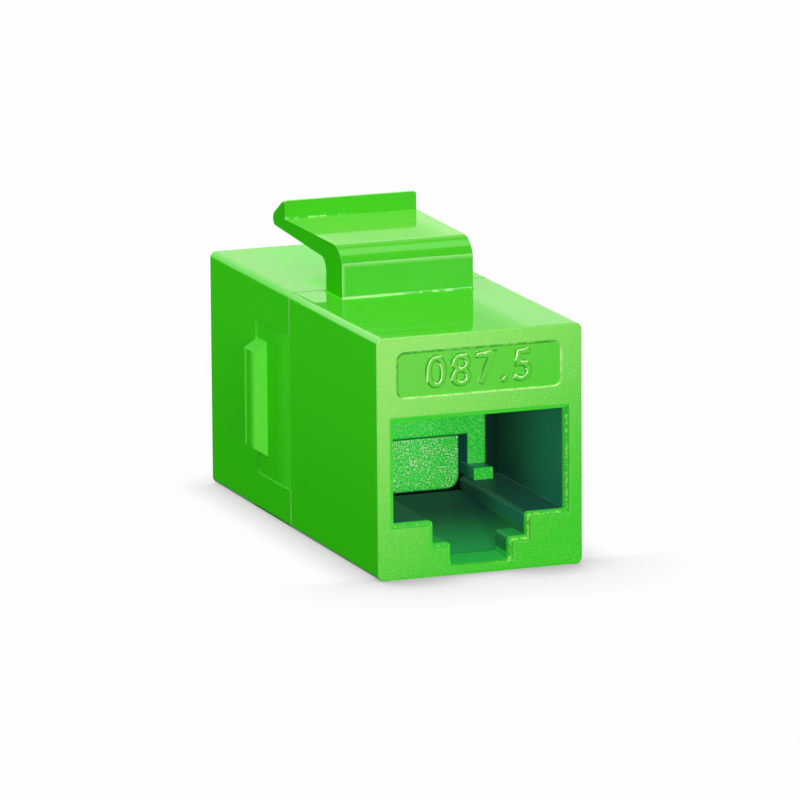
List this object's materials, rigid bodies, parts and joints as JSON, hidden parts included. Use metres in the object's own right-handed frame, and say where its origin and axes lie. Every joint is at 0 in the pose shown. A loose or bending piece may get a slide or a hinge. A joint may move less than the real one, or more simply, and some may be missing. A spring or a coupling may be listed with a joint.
{
  "type": "rj45 inline coupler",
  "caption": "Bright green inline coupler: a square plastic body with a stepped plug socket at each end, a springy latch arm on top and stop ribs on its sides.",
  "frame": {"origin": "centre of the underside, midway between the two socket faces", "axes": "front socket faces -Y, rear socket faces +Y, latch arm stands on the +Z side, +X is to the right seen from the front"},
  "size_m": [0.0162, 0.0326, 0.0212],
  "materials": {
    "housing_plastic": "glossy moulded plastic, satin on the two faces",
    "carrier_plastic": "moulded plastic with a coarse spark texture",
    "board": "solder mask over glass laminate",
    "contact_metal": "gold plated spring metal"
  },
  "bodies": {
    "root": {"front_housing": "housing_plastic", "rear_housing": "housing_plastic", "front_contact_carrier": "carrier_plastic", "rear_contact_carrier": "carrier_plastic", "circuit_board": "board", "front_contact_1": "contact_metal", "front_contact_2": "contact_metal", "front_contact_3": "contact_metal", "front_contact_4": "contact_metal", "front_contact_5": "contact_metal", "front_contact_6": "contact_metal", "front_contact_7": "contact_metal", "front_contact_8": "contact_metal", "rear_contact_1": "contact_metal", "rear_contact_2": "contact_metal", "rear_contact_3": "contact_metal", "rear_contact_4": "contact_metal", "rear_contact_5": "contact_metal", "rear_contact_6": "contact_metal", "rear_contact_7": "contact_metal", "rear_contact_8": "contact_metal"}
  },
  "joints": []
}
